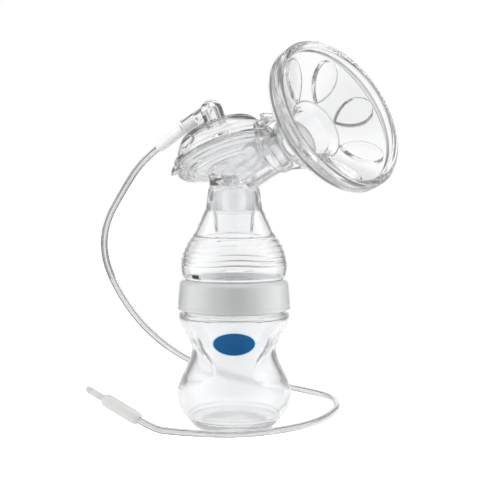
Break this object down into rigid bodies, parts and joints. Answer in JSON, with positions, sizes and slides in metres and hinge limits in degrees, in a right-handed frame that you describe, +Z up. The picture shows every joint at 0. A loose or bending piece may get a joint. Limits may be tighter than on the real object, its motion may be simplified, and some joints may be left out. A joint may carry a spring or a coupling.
{
  "type": "breast pump",
  "caption": "Breast pump milk collection set: waisted bottle, screw collar, domed adapter, tilted diaphragm housing with air tube and plug, funnel with soft cushion.",
  "frame": {"origin": "centre of the bottle's base, on the surface it stands on", "axes": "+Z up along the bottle, funnel towards +X, air port towards -X; the head is symmetric about the XZ plane"},
  "size_m": [0.1989, 0.1527, 0.2098],
  "materials": {
    "bottle_clear": "clear, glossy",
    "badge_blue": "printed",
    "seal_silicone": "translucent",
    "collar_grey": "pearl, translucent",
    "clear_plastic": "clear, glossy",
    "valve_silicone": "translucent",
    "diaphragm_silicone": "translucent",
    "connector_white": "satin",
    "cushion_silicone": "clear silicone",
    "tube_clear": "clear",
    "plug_white": "satin",
    "nozzle_white": "satin"
  },
  "bodies": {
    "bottle": {"bottle": "bottle_clear", "bottle_badge": "badge_blue", "bottle_seal": "seal_silicone"},
    "pump_head": {"bottle_adapter": "clear_plastic", "neck_seal": "seal_silicone", "pump_body": "clear_plastic", "air_tube": "tube_clear", "plug_grip": "plug_white", "plug_nozzle": "nozzle_white"},
    "collar": {"collar_ring": "collar_grey"},
    "valve": {"duckbill_valve": "valve_silicone"},
    "diaphragm": {"diaphragm": "diaphragm_silicone"},
    "cap": {"diaphragm_cap": "clear_plastic", "tube_connector": "connector_white"},
    "funnel": {"funnel": "clear_plastic"},
    "cushion": {"massage_cushion": "cushion_silicone"}
  },
  "joints": [
    {"name": "head_lift", "type": "slide", "parent": "bottle", "child": "pump_head", "axis": [0, 0, 1], "range_m": [0, 0.003]},
    {"name": "collar_turn", "type": "hinge", "parent": "pump_head", "child": "collar", "pos_m": [0, 0, 0.074], "axis": [0, 0, 1], "range_deg": [0, 270]},
    {"name": "funnel_pull", "type": "slide", "parent": "pump_head", "child": "funnel", "axis": [0.891, 0, 0.454], "range_m": [0, 0.018]},
    {"name": "cushion_pull", "type": "slide", "parent": "funnel", "child": "cushion", "axis": [0.891, 0, 0.454], "range_m": [0, 0.03]},
    {"name": "cap_lift", "type": "slide", "parent": "pump_head", "child": "cap", "axis": [-0.454, 0, 0.891], "range_m": [0, 0.02]},
    {"name": "diaphragm_flex", "type": "slide", "parent": "pump_head", "child": "diaphragm", "axis": [-0.454, 0, 0.891], "range_m": [0, 0.008], "stiffness_N_per_m": 60, "deforming": ["diaphragm"]},
    {"name": "valve_pull", "type": "slide", "parent": "pump_head", "child": "valve", "axis": [0, 0, -1], "range_m": [0, 0.012]}
  ],
  "couplings": [
    {"joint": "head_lift", "follows": "collar_turn", "m_per_rad": 0.00063662}
  ]
}
